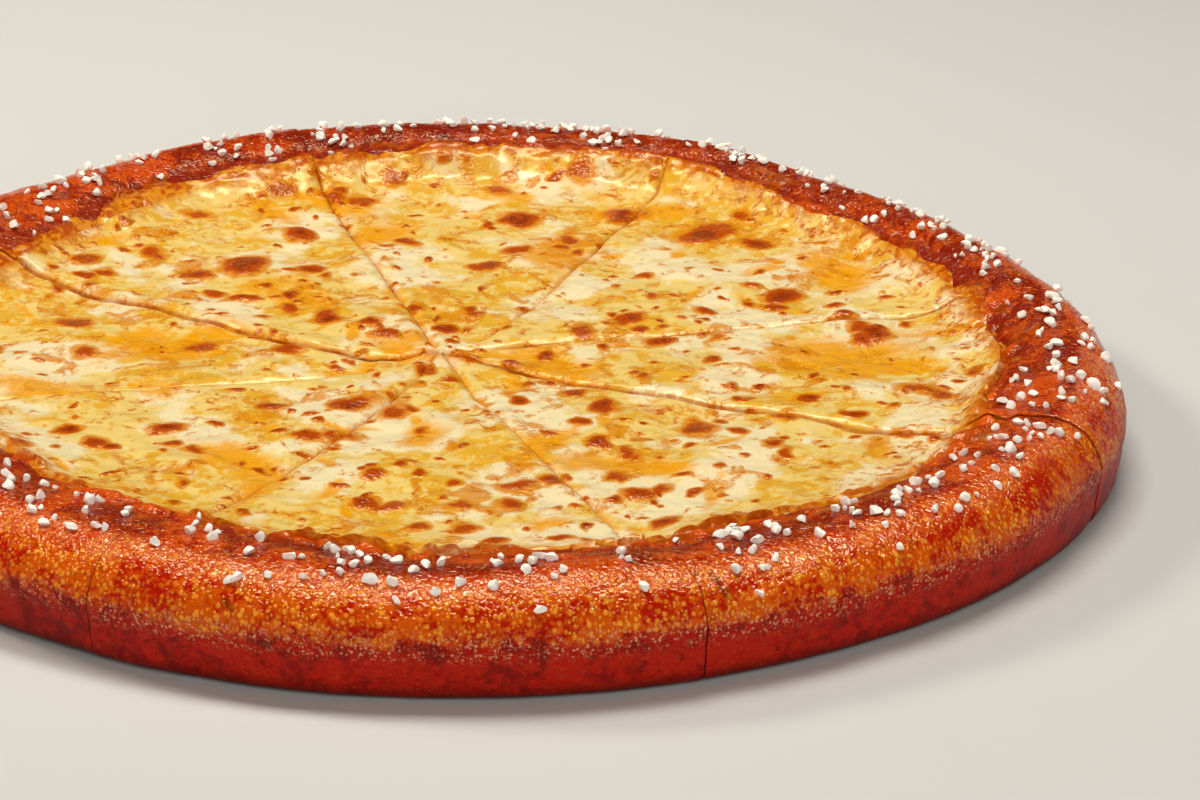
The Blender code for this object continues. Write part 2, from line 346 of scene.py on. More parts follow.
def smooth_line(corners, count):
    """Points at even steps along a smooth curve through the given corners, all in the same lengths."""
    given = np.array(corners)
    padded = np.vstack([2 * given[0] - given[1], given, 2 * given[-1] - given[-2]])
    steps = np.linspace(0, 1, 24, endpoint=False)[:, None]
    pieces = []
    for a, b, c, d in zip(padded, padded[1:], padded[2:], padded[3:]):
        cubic = (3 * b - a - 3 * c + d) * steps**3
        square = (2 * a - 5 * b + 4 * c - d) * steps**2
        pieces.append((cubic + square + (c - a) * steps + 2 * b) / 2)
    fine = np.vstack(pieces + [given[-1:]])
    along = np.concatenate([[0], np.cumsum(np.linalg.norm(np.diff(fine, axis=0), axis=1))])
    even = np.linspace(0, along[-1], count)
    return np.stack([np.interp(even, along, fine[:, k]) for k in range(fine.shape[1])], axis=1)


SECTION_SCALE = np.array([RIM_WIDTH, RIM_HEIGHT])
FINE_SECTION = smooth_line(np.array(RIM_SECTION) * SECTION_SCALE, 400) / SECTION_SCALE
BELT = int(np.argmin(FINE_SECTION[:, 0]))


def section_height(inward):
    """The roll's height, as a share, at a share of the way in."""
    return np.interp(inward, FINE_SECTION[BELT:, 0], FINE_SECTION[BELT:, 1])


class Slice:
    """The places on one slice, between the cut before it and the cut after it."""

    def __init__(self, index, gap):
        self.index = index
        self.gap = gap
        start, end = self.cut(0, DIAMETER / 2), self.cut(1, DIAMETER / 2)
        self.arc = (end - start) * DIAMETER / 2
        middle = (start + end) / 2
        outwards = np.array([math.cos(middle), math.sin(middle), 0.0])
        self.slide = MIDDLE + SETTLED * SLICE_SLIDE[index] * outwards
        self.rise = SETTLED * SLICE_RISE[index]

    def cut(self, after, radius):
        """The direction of the cut before or after the slice, at a distance from the middle."""
        number = self.index + after
        direction, aside = CUTS[number % SLICES]
        turned = np.arcsin(aside * radius / (radius**2 + COME_TOGETHER**2))
        return math.radians(direction) + turned + math.tau * (number // SLICES)

    def angle(self, radius, across):
        clear = np.arcsin(np.minimum(1.0, self.gap / 2 / radius))
        start = self.cut(0, radius) + clear
        return start + (self.cut(1, radius) - clear - start) * across

    def from_cut(self, radius, across):
        """The distance to the nearer cut."""
        arc = (self.cut(1, radius) - self.cut(0, radius)) * radius
        return np.minimum(across, 1 - across) * arc

    def point(self, radius, angle, height):
        plan = [radius * np.cos(angle), radius * np.sin(angle), height + 0 * angle]
        return np.stack(plan, axis=-1) + self.slide

    def ring(self, radius, across, height):
        """The points at these shares of the way across the slice."""
        return self.point(radius, self.angle(radius, across), height)

    def columns(self, step):
        """Even places across the slice, about a step apart where it is widest."""
        return np.linspace(0, 1, int(self.arc / step) + 1)


def knobs(points):
    """The knobbly ridge of browned dough and cheese along the inner edge of the rim."""
    flat = points * [1, 1, 0]
    beads = domes(points, BEAD_SIZE, 11) * smooth_step(-0.5, 0.3, lumps(flat, 0.019, 14))
    bulge = BEAD_HEIGHT * beads + lump_sum(flat, ((0.0009, 0.0090, 12), (0.0006, 0.0034, 13)))
    to_front = 0.45 + 0.55 * smooth_step(0.06, -0.06, points[..., 1])
    return bulge * to_front


def rim_rise(piece, angle, share):
    """How much higher the rim is than its even section, at a share of the section's height."""
    return (waves(angle, HEIGHT_WAVES) + piece.rise) * smooth_step(0, 1, share * 1.5)


def roll_height(piece, radius, angle, plan):
    """The height of the rim's top at places between its crest and the cheese."""
    inward = (outline_radius(angle) - radius) / rim_width(angle)
    share = section_height(np.clip(inward, 0.0, 1.0))
    foot = (foot_height(angle) - RIM_SECTION[-1][1] * RIM_HEIGHT) * smooth_step(0.62, 1.0, inward)
    knobbly = knobs(plan) * smooth_step(0.66, 0.90, inward)
    dip = INNER_DIP * smooth_step(*INNER_SIDE, inward)
    return share * RIM_HEIGHT + rim_rise(piece, angle, share) + foot + knobbly - dip


# Meshes


def grid_faces(rows, flipped=False):
    """Four-sided faces between rows of point numbers."""
    a, b, c, d = rows[:-1, :-1], rows[:-1, 1:], rows[1:, 1:], rows[1:, :-1]
    corners = (a, d, c, b) if flipped else (a, b, c, d)
    return np.stack([corner.ravel() for corner in corners], axis=1).tolist()


def zipped_faces(first, second, points):
    """Triangles that close the space between two lines of point numbers that both run inwards."""
    radius = np.linalg.norm(points[:, :2] - MIDDLE[:2], axis=1)
    faces = []
    i, j = 0, 0
    while i < len(first) - 1 or j < len(second) - 1:
        first_is_next = i < len(first) - 1 and (
            j == len(second) - 1 or radius[first[i + 1]] >= radius[second[j + 1]]
        )
        if first_is_next:
            faces.append((first[i], first[i + 1], second[j]))
            i += 1
        else:
            faces.append((second[j], first[i], second[j + 1]))
            j += 1
    return [face for face in faces if len(set(face)) == 3]


def linked_object(name, data):
    made = bpy.data.objects.new(name, data)
    bpy.context.scene.collection.objects.link(made)
    return made


def closed_piece(name, upper, lower):
    """A closed piece from rows of points of its upper and its lower side, both running inwards.

    The lower side's first row is the upper side's, and the last rows are joined by a narrow wall.
    """
    rows_up, columns = upper.shape[:2]
    points = np.concatenate([upper.reshape(-1, 3), lower[1:].reshape(-1, 3)])
    up = np.arange(rows_up * columns).reshape(rows_up, columns)
    under = rows_up * columns + np.arange((len(lower) - 1) * columns).reshape(-1, columns)
    low = np.vstack([up[:1], under])
    faces = grid_faces(up) + grid_faces(low, flipped=True)
    faces += grid_faces(np.vstack([up[-1], low[-1]]))
    for side in (0, -1):
        faces += zipped_faces(up[:, side].tolist(), low[:, side].tolist(), points)
    data = bpy.data.meshes.new(name)
    data.from_pydata(points.tolist(), [], faces)
    shape = bmesh.new()
    shape.from_mesh(data)
    bmesh.ops.recalc_face_normals(shape, faces=shape.faces)
    shape.to_mesh(data)
    shape.free()
    data.shade_smooth()
    data.set_sharp_from_angle(angle=math.radians(70))
    return linked_object(name, data)


def give_values(piece, name, upper, below=0.0):
    """Gives the points of a piece's upper side their values, and all its other points another."""
    values = np.full(len(piece.data.vertices), below, dtype=np.float32)
    values[: upper.size] = upper.ravel()
    piece.data.attributes.new(name, "FLOAT", "POINT").data.foreach_set("value", values)


def outward_normals(surface):
    """The normals of rows of points that run up and in, with columns that run anticlockwise."""
    along, across = np.gradient(surface, axis=0), np.gradient(surface, axis=1)
    normals = np.cross(across, along)
    return normals / np.maximum(np.linalg.norm(normals, axis=-1, keepdims=True), 1e-12)


# The crust

# The rim's uneven skin, as (height, width, seed) of its lumps
SKIN_LUMPS = ((0.00065, 0.026, 1), (0.00035, 0.010, 2), (0.00014, 0.0042, 3), (0.00009, 0.0021, 4))
# The crease along the belt: its middle and its width as shares of the rim's height, and its depth
CREASE_LEVEL = 0.515
CREASE_WIDTH = 0.035
CREASE_DEPTH = 0.0007
# The share inwards that stands for all the dough under the cheese
UNDER_CHEESE = 1.2


def crust_rows(piece, settings):
    """The rim's surface as rows of points from its foot to under the cheese, with their shares inwards."""
    across = piece.columns(settings.step)[None, :]
    length = np.linalg.norm(np.diff(FINE_SECTION * SECTION_SCALE, axis=0), axis=1).sum()
    section = smooth_line(FINE_SECTION[::8] * SECTION_SCALE, int(length / settings.step)) / SECTION_SCALE
    inward, share = section[:, :1], section[:, 1:]
    angle = piece.angle(DIAMETER / 2, across)
    radius = outline_radius(angle) - inward * rim_width(angle)
    turned = piece.angle(radius, across)
    inner = smooth_step(*INNER_SIDE, inward)
    surface = piece.point(radius, turned, share * RIM_HEIGHT + rim_rise(piece, angle, share))
    on_top = roll_height(piece, radius, turned, surface)
    belt_row = int(np.argmin(section[:, 0]))
    past_belt = np.arange(len(section))[:, None] > belt_row
    surface[..., 2] = np.where(past_belt, surface[..., 2] * (1 - inner) + on_top * inner, surface[..., 2])
    return across, inward, radius, surface, inner


def shape_crust(piece, settings):
    """One slice's baked dough: (upper rows, lower rows, values for the finish)."""
    across, inward, radius, surface, inner = crust_rows(piece, settings)
    normals = outward_normals(surface)
    height = surface[..., 2] / RIM_HEIGHT
    free = smooth_step(0.0, 0.12, height) * (1 - inner)
    flat = surface * [1, 1, 0]
    belt_line = CREASE_LEVEL + 0.040 * lumps(flat, 0.022, 21)
    crease = np.exp(-(((height - belt_line) / CREASE_WIDTH) ** 2)) * smooth_step(0.3, 0.1, inward)
    crease *= smooth_step(-0.5, 0.4, lumps(flat, 0.017, 22))
    relief = lump_sum(surface, SKIN_LUMPS) - CREASE_DEPTH * crease
    from_cut = piece.from_cut(radius, across)
    rounded = (1 - np.minimum(1.0, from_cut / settings.seam_reach)) ** 2
    relief -= settings.seam_drop * rounded
    surface = surface + normals * (relief * free)[..., None]
    surface[..., 2] -= settings.seam_drop * rounded * inner
    surface[..., 2] += 0.00025 * lumps(surface, 0.0030, 5) * inner
    surface[..., 2] = np.maximum(surface[..., 2], 0.0)

    edge = edge_radius(piece.angle(DIAMETER / 3, across))
    hidden = []
    for step, dough, _ in SHOULDER:
        hidden.append(piece.ring(edge - step, across, dough - CLEARANCE))
    for share in HIDDEN_RINGS:
        radius = TIP_RADIUS + share * (edge - SHOULDER[-1][0] - TIP_RADIUS)
        hidden.append(piece.ring(radius, across, DOUGH_THICKNESS - CLEARANCE))
    upper = np.concatenate([surface] + hidden)
    lower = [surface[:1]]
    for share in BASE_RINGS:
        lower.append(piece.ring(TIP_RADIUS + share * (edge - TIP_RADIUS), across, 0.0))
    spare = np.zeros((len(hidden), from_cut.shape[1]))
    values = {
        "inward": np.vstack([inward + 0 * from_cut, spare + UNDER_CHEESE]),
        "from_cut": np.vstack([from_cut, spare]),
        "knob": np.vstack([knobs(surface) * smooth_step(0.62, 0.86, inward), spare]),
    }
    return upper, np.concatenate(lower), values


# The cheese

# The browned film that runs over the rim: how far it reaches, how thick it starts and how much it falls
FILM_REACH = 0.0115
FILM_THICKNESS = 0.0011
FILM_FALL = 0.0015
# How far the film's edge runs: at least, by and large, and how much more at the back and the back left
LEAST_DRIP = 0.0006
DRIP = 0.0020
DRIP_BACK = 0.0022
DRIP_LEFT = 0.0044
DRIP_LUMPS = ((0.0038, 0.011, 31), (0.0015, 0.0045, 32))
# How deep the film's edge goes on under the rim's skin
TUCKED_IN = 0.0022
# The heights of what stands out of the cheese, and the depth of the cheddar patches
CHEESE_LUMPS = ((0.00050, 0.0090, 71), (0.00010, 0.0045, 72))
RIDGE_HEIGHT = 0.00012
BLISTER_HEIGHT = 0.00055
CREAM_HEIGHT = 0.00030
CHEDDAR_DEPTH = 0.00025
# The cheese's edge along a cut: how far in it starts to fall, how deep, and the lip before it
GROOVE_REACH = 0.0021
GROOVE_DEPTH = 0.0009
LIP_HEIGHT = 0.00025
LIP_PLACE = 0.0034
LIP_WIDTH = 0.0020


def scattered_spots(number, sizes, spacing, seed, crowding, stretches):
    """Chance places on the cheese, crowded here and there: (x, y, radius, strength, direction, stretch)."""
    draw = random.Random(seed)
    found = []
    tries = 0
    while len(found) < number and tries < number * 60:
        tries += 1
        angle = draw.uniform(0, math.tau)
        radius = DIAMETER / 2 * math.sqrt(draw.random())
        size = sizes[0] + (sizes[1] - sizes[0]) * draw.random() ** 2.4
        spot = (size, draw.uniform(0.55, 1.0), draw.uniform(0, math.pi), draw.uniform(*stretches))
        chance = draw.random()
        x, y = radius * math.cos(angle), radius * math.sin(angle)
        if radius > edge_radius(angle) - 0.001:
            continue
        if chance > 0.45 + crowding * float(lumps(np.array([x, y, 0.0]), 0.034, seed)):
            continue
        if not any(math.hypot(x - other[0], y - other[1]) < (size + other[2]) * spacing for other in found):
            found.append((x, y, *spot))
    return found


def spot_field(plan, spots, seed, bend):
    """How deep in a spot each place is: near 1 in its middle, 0 at its uneven edge and less outside."""
    warped = plan[..., :2].copy()
    for side in (0, 1):
        warped[..., side] += bend * lumps(plan, bend * 4, seed + side)
        warped[..., side] += bend * 0.45 * lumps(plan, bend * 1.7, seed + 2 + side)
    low, high = warped.reshape(-1, 2).min(axis=0) - 0.015, warped.reshape(-1, 2).max(axis=0) + 0.015
    field = np.full(plan.shape[:-1], OUTSIDE)
    for x, y, radius, strength, direction, stretch in spots:
        if not (low[0] < x < high[0] and low[1] < y < high[1]):
            continue
        right, up = warped[..., 0] - x, warped[..., 1] - y
        along = (right * math.cos(direction) + up * math.sin(direction)) / stretch
        beside = (up * math.cos(direction) - right * math.sin(direction)) * math.sqrt(stretch)
        field = np.maximum(field, strength * (1 - (along**2 + beside**2) / radius**2))
    return field


# The field's value far from every spot
OUTSIDE = -3.0
# Large features placed one by one, as (x, y, radius) in millimetres from the middle
LARGE_BLISTERS = (
    (78, 92, 7.5), (92, 84, 5.0), (55, 112, 6.0), (24, 108, 5.5), (14, 70, 4.0),
    (-55, 70, 7.0), (-68, 64, 4.5), (-40, 96, 4.5), (-30, 28, 5.0), (-22, -36, 5.0),
    (52, 24, 4.6), (-100, 28, 5.0), (96, 40, 5.5), (66, -52, 5.0), (-70, -50, 4.4),
    (118, 10, 4.6),
)
LARGE_CHEDDARS = (
    (28, -8, 11), (-8, 4, 9), (-70, 10, 13), (-36, 44, 9), (34, 76, 10),
    (112, 58, 11), (106, -4, 13), (118, -16, 10), (46, -78, 10), (-50, -74, 10),
    (-14, 100, 9), (-104, -18, 8), (-28, 122, 8), (66, 108, 8), (-4, -60, 7),
)
# The scattered ones: (sizes, spacing, seed, crowding, stretches)
SMALL_BLISTERS = ((0.0010, 0.0038), 0.80, 7, 0.55, (1.0, 1.5))
SMALL_CHEDDARS = ((0.0024, 0.0085), 0.9, 8, 0.4, (1.2, 2.6))


def placed_spots(features, stretch):
    """The listed features, as rows of the same form as the scattered ones."""
    return [(x / 1000, y / 1000, size / 1000, 1.0, x * y, stretch) for x, y, size in features]


def shape_cheese(piece, settings, blisters, cheddars):
    """One slice's melted cheese: (upper rows, lower rows, values for the finish)."""
    across = piece.columns(settings.step)[None, :]
    tip = TIP_RADIUS * 0.4
    edge = edge_radius(piece.angle(DIAMETER / 3, across))
    rows = int((DIAMETER / 2 - RIM_WIDTH + FILM_REACH) / settings.step)
    outwards = np.linspace(1, 0, rows)[:, None]
    radius = tip + outwards * (edge + FILM_REACH - tip)
    angle = piece.angle(radius, across)
    plan = piece.point(radius, angle, 0.0)
    inside = edge_radius(angle) - radius

    steps = [0.0] + [step for step, _, _ in SHOULDER]
    heights = [CHEESE_FOOT_HEIGHT + FILM_THICKNESS] + [cheese for _, _, cheese in SHOULDER]
    level = np.interp(inside, steps + [0.030], heights + [CHEESE_LEVEL])
    level += (foot_height(angle) - CHEESE_FOOT_HEIGHT) * smooth_step(0.0090, 0.0, inside)
    level += cheese_swell(plan - piece.slide) + piece.rise + CHEESE_RISE[piece.index]
    level += knobs(plan) * smooth_step(0.0065, 0.0, inside)
    drips = DRIP + lump_sum(plan, DRIP_LUMPS) + DRIP_BACK * smooth_step(0.02, 0.09, plan[..., 1])
    drips += DRIP_LEFT * smooth_step(0.02, 0.09, -plan[..., 0]) * smooth_step(-0.01, 0.05, plan[..., 1])
    flow = -inside / np.maximum(drips, LEAST_DRIP)
    film = FILM_THICKNESS - FILM_FALL * smooth_step(0.0, 1.0, flow)
    on_rim = roll_height(piece, radius, angle, plan) + film
    top = np.where(inside > 0, level, on_rim)

    toast = spot_field(plan, blisters, seed=41, bend=0.0016)
    cheddar = spot_field(plan, cheddars, seed=51, bend=0.0045)
    cream = lump_sum(plan, ((1.0, 0.016, 61), (0.5, 0.006, 62)))
    top += lump_sum(plan, CHEESE_LUMPS)
    ridges = 1 - np.abs(lumps(plan, 0.0120, 73))
    top += RIDGE_HEIGHT * smooth_step(0.50, 1.0, ridges)
    top += BLISTER_HEIGHT * smooth_step(-0.2, 0.6, toast) * smooth_step(-0.6, 0.5, lumps(plan, 0.02, 74))
    top -= CHEDDAR_DEPTH * smooth_step(0.0, 0.4, cheddar)
    top += CREAM_HEIGHT * smooth_step(0.1, 0.8, cream)

    from_cut = piece.from_cut(radius, across)
    reach = GROOVE_REACH + 0.0009 * lumps(plan, 0.012, 81)
    falling = (1 - np.minimum(1.0, from_cut / reach)) ** 2
    lip = np.exp(-(((from_cut - LIP_PLACE) / LIP_WIDTH) ** 2))
    depth = GROOVE_DEPTH + 0.0005 * lumps(plan, 0.018, 82)
    top += (LIP_HEIGHT * lip - depth * falling) * smooth_step(-0.001, 0.004, inside)
    upper = plan + [0, 0, 1] * top[..., None]

    lower = [upper[:1]]
    sunk = roll_height(piece, radius[:1], angle[:1], plan[:1]) - TUCKED_IN
    lower.append(plan[:1] + [0, 0, 1] * sunk[..., None])
    for step, dough, _ in ((0.0, CHEESE_FOOT_HEIGHT, 0),) + SHOULDER:
        lower.append(piece.ring(edge - step, across, dough + LAYER_GAP - CLEARANCE))
    for share in HIDDEN_RINGS:
        radius = tip + share * (edge - SHOULDER[-1][0] - tip)
        lower.append(piece.ring(radius, across, DOUGH_THICKNESS + LAYER_GAP))
    values = {
        "toast": toast,
        "cheddar": cheddar,
        "cream": cream,
        "from_cut": from_cut,
        "inside": inside,
        "flow": flow,
        "knob": knobs(plan) * smooth_step(0.0080, 0.0, inside),
    }
    return upper, np.concatenate(lower), values


# The salt


def fused_grains(piece):
    """Where the solids' grains lie on a slice: (share of the way in, share across, size share)."""
    draw = random.Random(SALT_SEED + piece.index)
    found = []
    while len(found) < FUSED_GRAINS:
        across = draw.uniform(SALT_MARGIN, 1 - SALT_MARGIN)
        inward = draw.triangular(*SALT_BAND)
        size = draw.uniform(*GRAIN_SIZES)
        spot = Vector((across * piece.arc, inward * RIM_WIDTH * ROLL_STRETCH))
        if all((spot - other).length > SALT_SPACING for other, *_ in found):
            found.append((spot, inward, across, size))
    return [place[1:] for place in found]


def grain_places(piece, number):
    """All the grains of a slice: the fused ones, and more near them in loose clusters."""
    placed = fused_grains(piece)
    draw = random.Random(SALT_SEED * 50 + piece.index)
    places = list(placed)
    while len(places) < number:
        inward, across, _ = draw.choice(placed)
        if draw.random() < STRAY_SHARE:
            across, inward = draw.uniform(0.03, 0.97), draw.triangular(*STRAY_BAND)
        else:
            across += draw.gauss(0, CLUSTER_SPREAD[0]) / piece.arc
            inward += draw.gauss(0, CLUSTER_SPREAD[1]) / RIM_WIDTH
        size = draw.uniform(*SCATTERED_SIZES)
        if not (0.02 < across < 0.98 and 0.04 < inward < 0.97):
            continue
        gaps = (math.hypot((across - a) * piece.arc, (inward - i) * RIM_WIDTH) for i, a, _ in places)
        if min(gaps) >= LEAST_SPACING:
            places.append((inward, across, size))
    return places


def grain_points(ball, size, draw):
    """One chalky nugget: a ball cut flat by a few planes, stretched and turned."""
    points = ball.copy()
    for _ in range(draw.randint(6, 9)):
        flat = np.array([draw.gauss(0, 1) for _ in range(3)])
        flat /= np.linalg.norm(flat)
        over = np.maximum(points @ flat - draw.uniform(0.38, 0.72), 0)
        points -= over[:, None] * flat
    stretch = np.array([draw.uniform(1.0, 1.5), draw.uniform(0.85, 1.15), draw.uniform(0.85, 1.15)])
    turn = Matrix.Rotation(draw.uniform(0, math.tau), 3, "Z") @ Matrix.Rotation(draw.gauss(0, 0.4), 3, "X")
    return points * stretch @ np.array(turn).T * size / 2


# Finishes

NOISE_ROUGHNESS = 0.55


class Value:
    """A socket in shader maths: arithmetic on it adds Math nodes."""

    def __init__(self, finish, socket):
        self.finish = finish
        self.socket = socket

    def maths(self, operation, *values):
        sockets = dict(enumerate(values))
        return self.finish.node("ShaderNodeMath", {"operation": operation}, sockets)

    def __add__(self, other):
        return self.maths("ADD", self, other)

    def __sub__(self, other):
        return self.maths("SUBTRACT", self, other)

    def __rsub__(self, other):
        return self.maths("SUBTRACT", other, self)

    def __mul__(self, other):
        return self.maths("MULTIPLY", self, other)

    def most(self, other):
        return self.maths("MAXIMUM", self, other)

    def size(self):
        return self.maths("ABSOLUTE", self)

    def step(self, low, high):
        """0 below low, 1 above high, and smooth between them."""
        sockets = {"Value": self, "From Min": low, "From Max": high, "To Min": 0.0, "To Max": 1.0}
        return self.finish.node("ShaderNodeMapRange", {"interpolation_type": "SMOOTHSTEP"}, sockets)


class Finish:
    """A material and the few ways that nodes are added to it."""

    def __init__(self, name):
        self.material = bpy.data.materials.new(name)
        self.material.use_nodes = True
        self.tree = self.material.node_tree
        self.tree.nodes.clear()
        self.place = self.node("ShaderNodeTexCoord", output="Object")

    def node(self, kind, settings=None, sockets=None, output=0):
        """Adds a node: its settings first, then its sockets' values or links."""
        made = self.tree.nodes.new(kind)
        for key, value in (settings or {}).items():
            setattr(made, key, value)
        for key, value in (sockets or {}).items():
            if isinstance(value, Value):
                self.tree.links.new(value.socket, made.inputs[key])
            else:
                made.inputs[key].default_value = value
        return Value(self, made.outputs[output])

    def stored(self, name):
        """A value that the mesh holds at each point."""
        return self.node("ShaderNodeAttribute", {"attribute_name": name}, output="Fac")

    def along(self, axis):
        """How far each place is along X, Y or Z."""
        return self.node("ShaderNodeSeparateXYZ", {}, {"Vector": self.place}, output=axis)

    def grain(self, size, detail=3.0, distortion=0.0):
        """Noise from -0.5 to 0.5 with lumps about `size` across."""
        sockets = {"Vector": self.place, "Scale": 1 / size, "Detail": detail}
        sockets.update({"Roughness": NOISE_ROUGHNESS, "Distortion": distortion})
        return self.node("ShaderNodeTexNoise", {}, sockets, output="Fac") - 0.5

    def cells(self, size, output="Distance"):
        """The distance to the middle of the nearest cell, in cells of about this size."""
        sockets = {"Vector": self.place, "Scale": 1 / size}
        return self.node("ShaderNodeTexVoronoi", {}, sockets, output=output)

    def cell_chance(self, size):
        """A chance value from 0 to 1 for each of the cells of a size."""
        colour = self.cells(size, output="Color")
        return self.node("ShaderNodeSeparateColor", {}, {"Color": colour}, output="Red")

    def mix(self, share, under, over):
        """A colour that goes from one to the other."""
        sockets = {0: share, 6: self.colour(under), 7: self.colour(over)}
        return self.node("ShaderNodeMix", {"data_type": "RGBA"}, sockets, output=2)

    def colour(self, given):
        return given if isinstance(given, Value) else (*given, 1.0)

    def layered(self, body, *layers):
        """A colour with others laid over it in turn, each given as (share, colour)."""
        for share, over in layers:
            body = self.mix(share, body, over)
        return body

    def dots(self, size, edge, middle, fewest, most):
        """Soft dots in cells of a size, each fainter or left out by chance."""
        return self.cells(size).step(edge, middle) * self.cell_chance(size).step(fewest, most)

    def bump(self, height, distance, strength=1.0):
        """A normal from a height that goes from 0 to 1 over a real distance."""
        sockets = {"Height": height, "Distance": distance, "Strength": strength}
        return self.node("ShaderNodeBump", {}, sockets, output="Normal")

    def shader(self, body, rough, gloss, normal=None, more=None):
        """A Principled BSDF."""
        sockets = {"Base Color": self.colour(body), "Roughness": rough, "Specular IOR Level": gloss}
        if normal:
            sockets["Normal"] = normal
        sockets.update(more or {})
        return self.node("ShaderNodeBsdfPrincipled", {}, sockets, output="BSDF")

    def surface(self, shader):
        """Links the shader to the material's output, and gives the material."""
        made = self.tree.nodes.new("ShaderNodeOutputMaterial")
        self.tree.links.new(shader.socket, made.inputs["Surface"])
        return self.material


def baked_finish(settings):
    """Glazed pretzel dough: mahogany on top, amber with gold specks outside that also paint their glints,
    brick red below, with painted glints on the belt and painted shade along the seams.
    """
    finish = Finish("glazed_pretzel_dough")
    inward, from_cut, knob = finish.stored("inward"), finish.stored("from_cut"), finish.stored("knob")
    height, across = finish.along("Z"), finish.along("X")
    aside = across.size().step(0.06, 0.14)
    behind = finish.along("Y").step(0.02, 0.12)
    # Less red and amber glaze towards the back right, so darker there
    darker_back_right = behind * across.step(-0.10, 0.0) * 0.4
    broad = finish.grain(0.030, detail=2.0, distortion=0.6)
    patchy = finish.grain(0.0095, distortion=0.8)
    fine = finish.grain(0.0022)
    tiny = finish.grain(0.0007, detail=2.0)
    patches = patchy * 0.5 + broad * 0.5

    # The glaze, from the outer slope to the crest
    uneven = patchy * 0.30 + broad * 0.34
    top = (inward + uneven).step(0.20, 0.42)
    red = (broad + patchy * 0.5).step(-0.04, 0.10)
    glazed = finish.mix(red * (0.7 - darker_back_right), settings.mahogany, settings.red_glaze)
    amber = finish.mix((patchy + fine * 0.9).step(-0.14, 0.10), settings.red_glaze, settings.amber)
    grainy = fine * 0.6 + tiny * 0.6
    amber_on_top = (patchy * 0.6 + broad * 0.5 + grainy + aside * 0.06).step(-0.01, 0.12)
    skin = finish.mix(top, amber, finish.mix(amber_on_top * (0.7 - darker_back_right), glazed, settings.amber))

    # Tiny blisters in the skin, whose gold colour also paints their glints, and pale flakes on the shoulder
    # that also paint the sheen there
    crowded = patches.step(-0.14, 0.08) * (1 - top * 0.8)
    dots = finish.dots(0.0017, 0.48, 0.24, 0.25, 0.50).most(finish.dots(0.0010, 0.50, 0.24, 0.35, 0.60))
    gold_specks_and_glints = dots * crowded
    # The shoulder's pale flakes are partly lighter flaky skin and partly painted sheen, where the overhead
    # highlight band falls
    shoulder = (inward + uneven * 0.3).step(0.12, 0.19) * (inward + uneven * 0.3).step(0.38, 0.30)
    flakes_and_sheen = (finish.grain(0.0011, detail=1.0, distortion=2.0) + patchy * 0.4).step(0.0, 0.14)

    # The belt's pale glints, which are painted highlights, and the dull band below it
    belt = height.step(0.0100, 0.0135) * height.step(0.0200, 0.0160) * (1 - inward * 5).most(0.0)
    glints = finish.dots(0.0011, 0.46, 0.22, 0.45, 0.60)
    glints = glints.most(finish.grain(0.0011, detail=2.0, distortion=1.2).step(0.07, 0.16))
    glints = glints * patches.step(-0.14, 0.02) * belt
    low = (height + patchy * 0.0085 + fine * 0.0040).step(0.0180, 0.0146)
    smudged = (patchy + fine * 0.6 + tiny * 0.4 + broad * 0.4).step(0.08, -0.20)
    base = height.step(0.0062, 0.0004) * (patchy.step(-0.2, 0.1) * 0.4 + 0.5)

    near_cheese = (inward + patchy * 0.2).step(0.70, 0.92)
    # Amber on the knobs' tops and mahogany between them: painted light on the tops and painted shade in the
    # gaps
    knobbly = (knob * 420 + fine * 0.9).step(0.0, 0.7)
    burnt = (finish.grain(0.017, distortion=1.2) + fine * 0.15).step(0.17, 0.24)
    skin = finish.layered(
        skin,
        (shoulder * 0.35, settings.amber),
        (gold_specks_and_glints * 0.82, settings.gold_speck_glint),
        (shoulder * flakes_and_sheen * 0.28, settings.pale_flake_and_glint),
        (low * 0.94, finish.mix(smudged * 0.6, settings.brick, settings.scorched_and_seam_shade)),
        (glints * 0.92, settings.pale_flake_and_glint),
        (base, settings.scorched_and_seam_shade),
        (near_cheese * 0.9, finish.mix(knobbly, settings.mahogany, settings.amber)),
        (burnt * 0.6, settings.scorched_and_seam_shade),
        # Painted shade along the seams
        (from_cut.step(0.0003, 0.0) * 0.45, settings.scorched_and_seam_shade),
    )

    wrinkles = finish.grain(0.0015, detail=0.0, distortion=1.0)
    creases = finish.grain(0.0036, detail=1.0, distortion=0.6)
    pores = (wrinkles + 0.5) * 0.55 + (creases + 0.5) * 0.32 + gold_specks_and_glints * 0.22
    normal = finish.bump(pores * (1 - low * 0.3) + glints * 0.25, distance=0.0009)
    glossy = finish.shader(skin, rough=patchy * 0.08 + 0.10, gloss=0.42, normal=normal)
    dull = finish.shader(skin, rough=0.45, gloss=0.10, normal=normal)
    outside, inner_side = inward.step(0.12, 0.02) * 0.7, inward.step(0.42, 0.72) * 0.55
    duller = (low * 0.9).most(inner_side).most(outside)
    return finish.surface(finish.node("ShaderNodeMixShader", {}, {0: duller, 1: glossy, 2: dull}))


